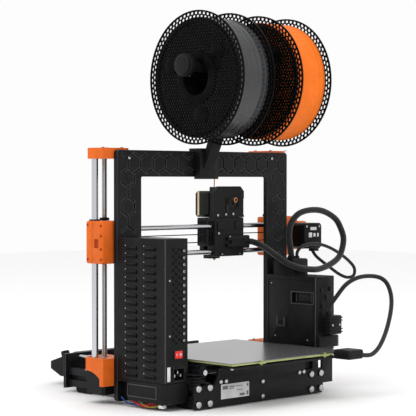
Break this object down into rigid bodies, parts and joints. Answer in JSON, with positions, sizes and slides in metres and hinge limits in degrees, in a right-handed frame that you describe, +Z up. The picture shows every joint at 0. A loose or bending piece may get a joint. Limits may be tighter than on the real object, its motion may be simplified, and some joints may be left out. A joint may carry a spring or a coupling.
{
  "type": "filament 3d printer",
  "caption": "Desktop filament printer: upright plate frame, moving bed, lifting cross beam with a print head, and spools on a top holder.",
  "frame": {"origin": "centre of the machine box, cords left out, on the ground plane", "axes": "+Z up, -Y towards the front with the display, +X to the right seen from the front"},
  "size_m": [0.5086, 0.482, 0.5874],
  "materials": {
    "frame_paint": "satin black powder coat",
    "orange_print": "layered print",
    "black_print": "layered print",
    "black_plastic": "smooth",
    "red_plastic": "smooth, lit",
    "grey_metal": "satin",
    "bright_steel": "ground",
    "brass": "machined",
    "sheet_steel": "smooth coated",
    "heater_board": "circuit board",
    "rubber": "matte",
    "spool_plastic": "moulded",
    "dark_filament": "wound filament",
    "orange_filament": "wound filament",
    "braid": "braided sleeve"
  },
  "bodies": {
    "frame": {"frame_plate": "frame_paint", "profile_front_left": "grey_metal", "profile_rear_left": "grey_metal", "profile_front_right": "grey_metal", "profile_rear_right": "grey_metal", "rear_plate": "frame_paint", "y_motor": "black_plastic", "y_belt": "rubber", "z_motor_left": "black_plastic", "z_bottom_left": "orange_print", "z_top_left": "orange_print", "z_motor_right": "black_plastic", "z_bottom_right": "orange_print", "z_top_right": "orange_print", "psu_cover": "black_print", "display_housing": "black_print", "head_cable": "braid", "x_motor_cable": "braid", "bed_cable": "braid", "filament_strand": "orange_print", "foot_front_left": "rubber", "foot_rear_left": "rubber", "y_rod_left": "bright_steel", "foot_front_right": "rubber", "foot_rear_right": "rubber", "y_rod_right": "bright_steel", "front_plate": "frame_paint", "z_rod_left": "bright_steel", "z_rod_right": "bright_steel", "spool_holder": "black_print", "psu_case": "frame_paint", "power_inlet": "black_plastic", "electronics_case": "black_print"},
    "gantry": {"x_end_idler": "orange_print", "x_end_motor": "orange_print", "x_rod_upper": "bright_steel", "x_rod_lower": "bright_steel", "x_motor": "black_plastic", "x_belt": "rubber"},
    "print_head": {"x_carriage": "black_print", "extruder_body": "black_print", "extruder_motor": "black_plastic", "blower": "black_plastic", "hotend": "brass"},
    "idler_lever": {"idler_lever": "orange_print"},
    "hotend_fan": {"hotend_fan": "black_plastic"},
    "bed": {"bed_carriage": "grey_metal", "heatbed": "heater_board", "steel_sheet": "sheet_steel", "bed_cable_cover": "black_print"},
    "z_screw_left": {"z_screw_left": "bright_steel"},
    "z_screw_right": {"z_screw_right": "bright_steel"},
    "power_switch": {"power_switch": "red_plastic"},
    "display_knob": {"display_knob": "black_plastic"},
    "y_pulley": {"y_pulley": "grey_metal"},
    "x_pulley": {"x_pulley": "grey_metal"},
    "spool_dark": {"spool_reel_dark": "spool_plastic", "filament_winding_dark": "dark_filament"},
    "spool_orange": {"spool_reel_orange": "spool_plastic", "filament_winding_orange": "orange_filament"}
  },
  "joints": [
    {"name": "z_slide", "type": "slide", "parent": "frame", "child": "gantry", "axis": [0, 0, 1], "range_m": [-0.1335, 0.075], "deforming": ["head_cable", "x_motor_cable", "filament_strand"]},
    {"name": "x_slide", "type": "slide", "parent": "gantry", "child": "print_head", "axis": [1, 0, 0], "range_m": [-0.036, 0.185], "deforming": ["head_cable", "filament_strand"]},
    {"name": "y_slide", "type": "slide", "parent": "frame", "child": "bed", "axis": [0, 1, 0], "range_m": [-0.205, 0.002], "deforming": ["bed_cable"]},
    {"name": "screw_left_spin", "type": "hinge", "parent": "frame", "child": "z_screw_left", "pos_m": [-0.15673, -0.013, 0.2], "axis": [0, 0, 1], "continuous": true},
    {"name": "screw_right_spin", "type": "hinge", "parent": "frame", "child": "z_screw_right", "pos_m": [0.19987, -0.013, 0.2], "axis": [0, 0, 1], "continuous": true},
    {"name": "x_pulley_spin", "type": "hinge", "parent": "gantry", "child": "x_pulley", "pos_m": [-0.20493, 0.003, 0.2426], "axis": [0, 1, 0], "continuous": true},
    {"name": "y_pulley_spin", "type": "hinge", "parent": "frame", "child": "y_pulley", "pos_m": [0.02957, 0.12, 0.038], "axis": [1, 0, 0], "continuous": true},
    {"name": "dark_spool_spin", "type": "hinge", "parent": "frame", "child": "spool_dark", "pos_m": [0.08907, 0.104, 0.4874], "axis": [1, 0, 0], "continuous": true},
    {"name": "orange_spool_spin", "type": "hinge", "parent": "frame", "child": "spool_orange", "pos_m": [-0.03693, 0.104, 0.4874], "axis": [1, 0, 0], "continuous": true, "deforming": ["filament_strand"]},
    {"name": "switch_rock", "type": "hinge", "parent": "frame", "child": "power_switch", "pos_m": [0.18107, 0.1232, 0.0815], "axis": [0, 0, 1], "range_deg": [-8, 8]},
    {"name": "knob_turn", "type": "hinge", "parent": "frame", "child": "display_knob", "pos_m": [0.10957, -0.21648, 0.04999], "axis": [0, -0.3084, 0.9513], "continuous": true},
    {"name": "idler_swing", "type": "hinge", "parent": "print_head", "child": "idler_lever", "pos_m": [-0.08193, 0, 0.288], "axis": [0, 1, 0], "range_deg": [-20, 0], "stiffness_Nm_per_rad": 0.02},
    {"name": "fan_spin", "type": "hinge", "parent": "print_head", "child": "hotend_fan", "pos_m": [-0.07193, -0.01965, 0.25175], "axis": [1, 0, 0], "continuous": true}
  ],
  "couplings": [
    {"joint": "screw_left_spin", "follows": "z_slide", "rad_per_m": 785.4},
    {"joint": "screw_right_spin", "follows": "z_slide", "rad_per_m": 785.4},
    {"joint": "x_pulley_spin", "follows": "x_slide", "rad_per_m": 196.35},
    {"joint": "y_pulley_spin", "follows": "y_slide", "rad_per_m": -196.35}
  ]
}
